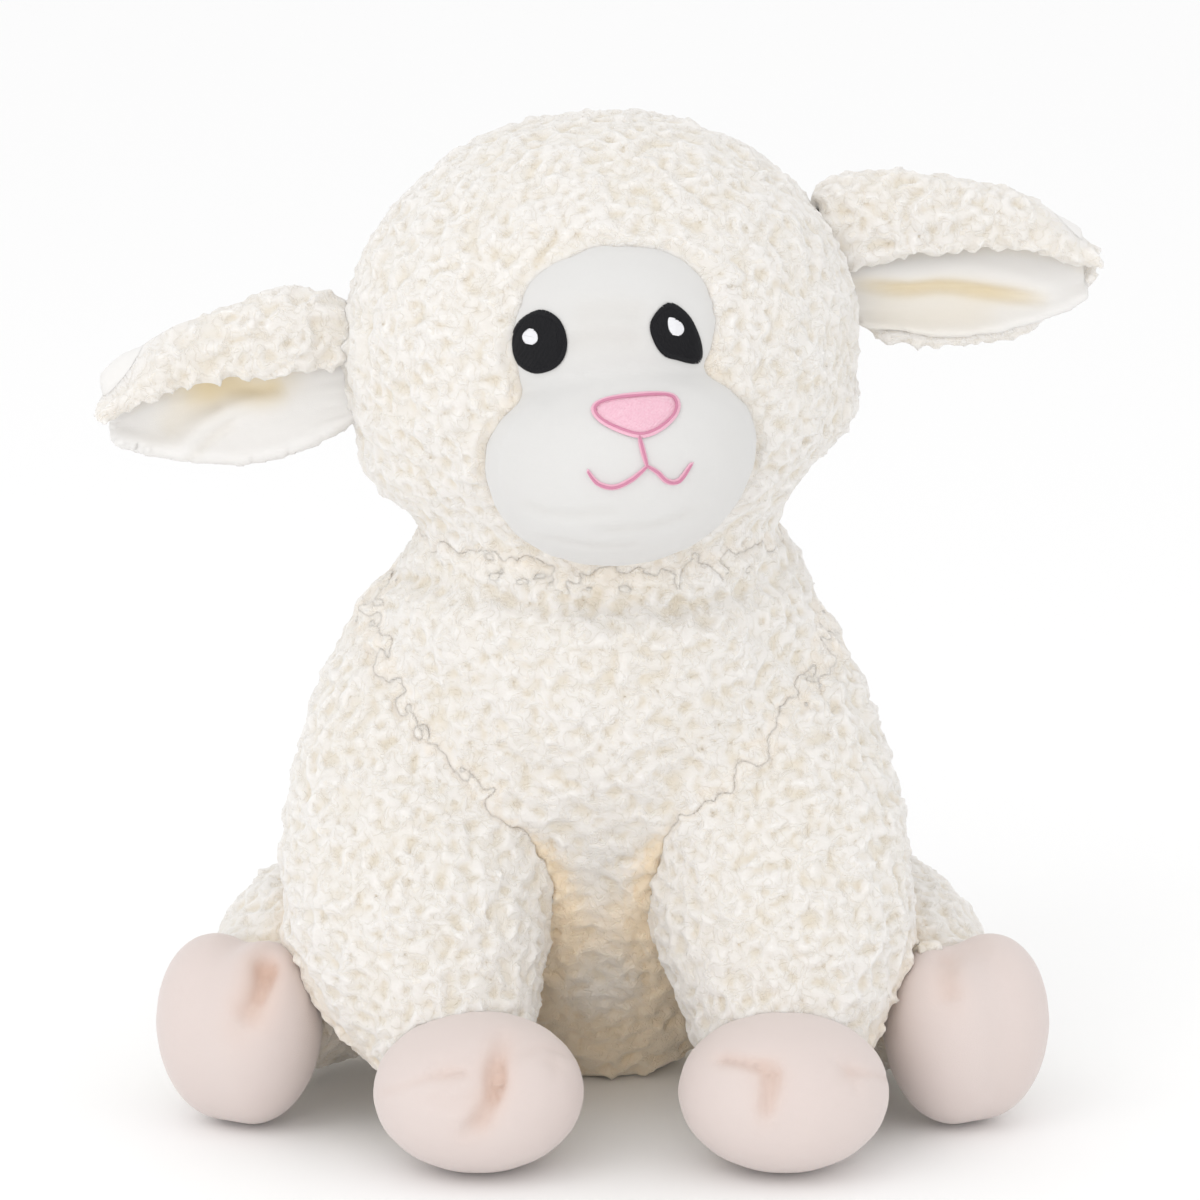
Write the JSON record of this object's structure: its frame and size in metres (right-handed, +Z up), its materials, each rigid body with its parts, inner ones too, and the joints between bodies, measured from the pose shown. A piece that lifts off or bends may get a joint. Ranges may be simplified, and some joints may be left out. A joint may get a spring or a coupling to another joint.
{
  "type": "plush sheep",
  "caption": "Sitting plush lamb in curly pile, with velour face and hooves, turning head, flopping ears and swinging legs.",
  "frame": {"origin": "middle of the flat seat, on the surface that the toy sits on", "axes": "+Z up, -Y the way the toy faces, +X the toy's left"},
  "size_m": [0.2792, 0.195, 0.2809],
  "materials": {
    "pile": "matte",
    "face_velour": "matte",
    "hoof_velour": "matte",
    "lining_velour": "matte",
    "black_thread": "satin",
    "white_thread": "satin",
    "pink_thread": "satin",
    "dark_pink_thread": "satin",
    "pale_thread": "satin",
    "filling": "matte",
    "pouch_cloth": "matte"
  },
  "bodies": {
    "body": {"body_chest_panel": "pile", "body_back_panel": "pile", "body_seat_panel": "pile", "body_filling": "filling", "bead_pouch": "pouch_cloth"},
    "neck": {"neck_band": "pile"},
    "head": {"head_cover": "pile", "head_filling": "filling", "face_panel": "face_velour", "nose_patch": "pink_thread", "nose_outline": "dark_pink_thread", "mouth_stitching": "dark_pink_thread", "right_eye": "black_thread", "right_eye_glint": "white_thread", "left_eye": "black_thread", "left_eye_glint": "white_thread"},
    "right_ear": {"right_ear_outer": "pile", "right_ear_lining": "lining_velour"},
    "left_ear": {"left_ear_outer": "pile", "left_ear_lining": "lining_velour"},
    "right_foreleg": {"right_foreleg_cover": "pile", "right_foreleg_filling": "filling", "right_foreleg_hoof_top": "hoof_velour", "right_foreleg_hoof_sole": "hoof_velour", "right_foreleg_hoof_tuck": "pale_thread"},
    "left_foreleg": {"left_foreleg_cover": "pile", "left_foreleg_filling": "filling", "left_foreleg_hoof_top": "hoof_velour", "left_foreleg_hoof_sole": "hoof_velour", "left_foreleg_hoof_tuck": "pale_thread"},
    "right_hind_leg": {"right_hind_leg_cover": "pile", "right_hind_leg_filling": "filling", "right_hind_leg_hoof_top": "hoof_velour", "right_hind_leg_hoof_sole": "hoof_velour", "right_hind_leg_hoof_tuck": "pale_thread"},
    "left_hind_leg": {"left_hind_leg_cover": "pile", "left_hind_leg_filling": "filling", "left_hind_leg_hoof_top": "hoof_velour", "left_hind_leg_hoof_sole": "hoof_velour", "left_hind_leg_hoof_tuck": "pale_thread"},
    "tail": {"tail": "pile"}
  },
  "joints": [
    {"name": "neck_turn", "type": "hinge", "parent": "body", "child": "neck", "pos_m": [0, -0.038, 0.217], "axis": [0, 0, 1], "range_deg": [-25, 25], "stiffness_Nm_per_rad": 0.4},
    {"name": "head_nod", "type": "hinge", "parent": "neck", "child": "head", "pos_m": [0, -0.038, 0.217], "axis": [0.9848, 0.1035, 0.1392], "range_deg": [-12, 3], "stiffness_Nm_per_rad": 1.2},
    {"name": "right_ear_flop", "type": "hinge", "parent": "head", "child": "right_ear", "pos_m": [-0.07779, -0.04618, 0.21308], "axis": [-0.1045, 0.9945, 0], "range_deg": [-25, 25], "stiffness_Nm_per_rad": 0.06},
    {"name": "left_ear_flop", "type": "hinge", "parent": "head", "child": "left_ear", "pos_m": [0.07488, -0.03013, 0.24172], "axis": [-0.1045, 0.9945, 0], "range_deg": [-25, 25], "stiffness_Nm_per_rad": 0.06},
    {"name": "right_foreleg_swing", "type": "hinge", "parent": "body", "child": "right_foreleg", "pos_m": [-0.052, -0.03, 0.126], "axis": [-1, 0, 0], "range_deg": [0, 50], "stiffness_Nm_per_rad": 0.3},
    {"name": "left_foreleg_swing", "type": "hinge", "parent": "body", "child": "left_foreleg", "pos_m": [0.046, -0.03, 0.126], "axis": [-1, 0, 0], "range_deg": [0, 50], "stiffness_Nm_per_rad": 0.3},
    {"name": "right_hind_leg_spread", "type": "hinge", "parent": "body", "child": "right_hind_leg", "pos_m": [-0.04, 0.014, 0.034], "axis": [0, 0, -1], "range_deg": [0, 25], "stiffness_Nm_per_rad": 0.3},
    {"name": "left_hind_leg_spread", "type": "hinge", "parent": "body", "child": "left_hind_leg", "pos_m": [0.04, 0.014, 0.034], "axis": [0, 0, 1], "range_deg": [0, 25], "stiffness_Nm_per_rad": 0.3},
    {"name": "tail_wag", "type": "hinge", "parent": "body", "child": "tail", "pos_m": [0, 0.04016, 0.06225], "axis": [0, 0, 1], "range_deg": [-20, 20], "stiffness_Nm_per_rad": 0.02}
  ]
}
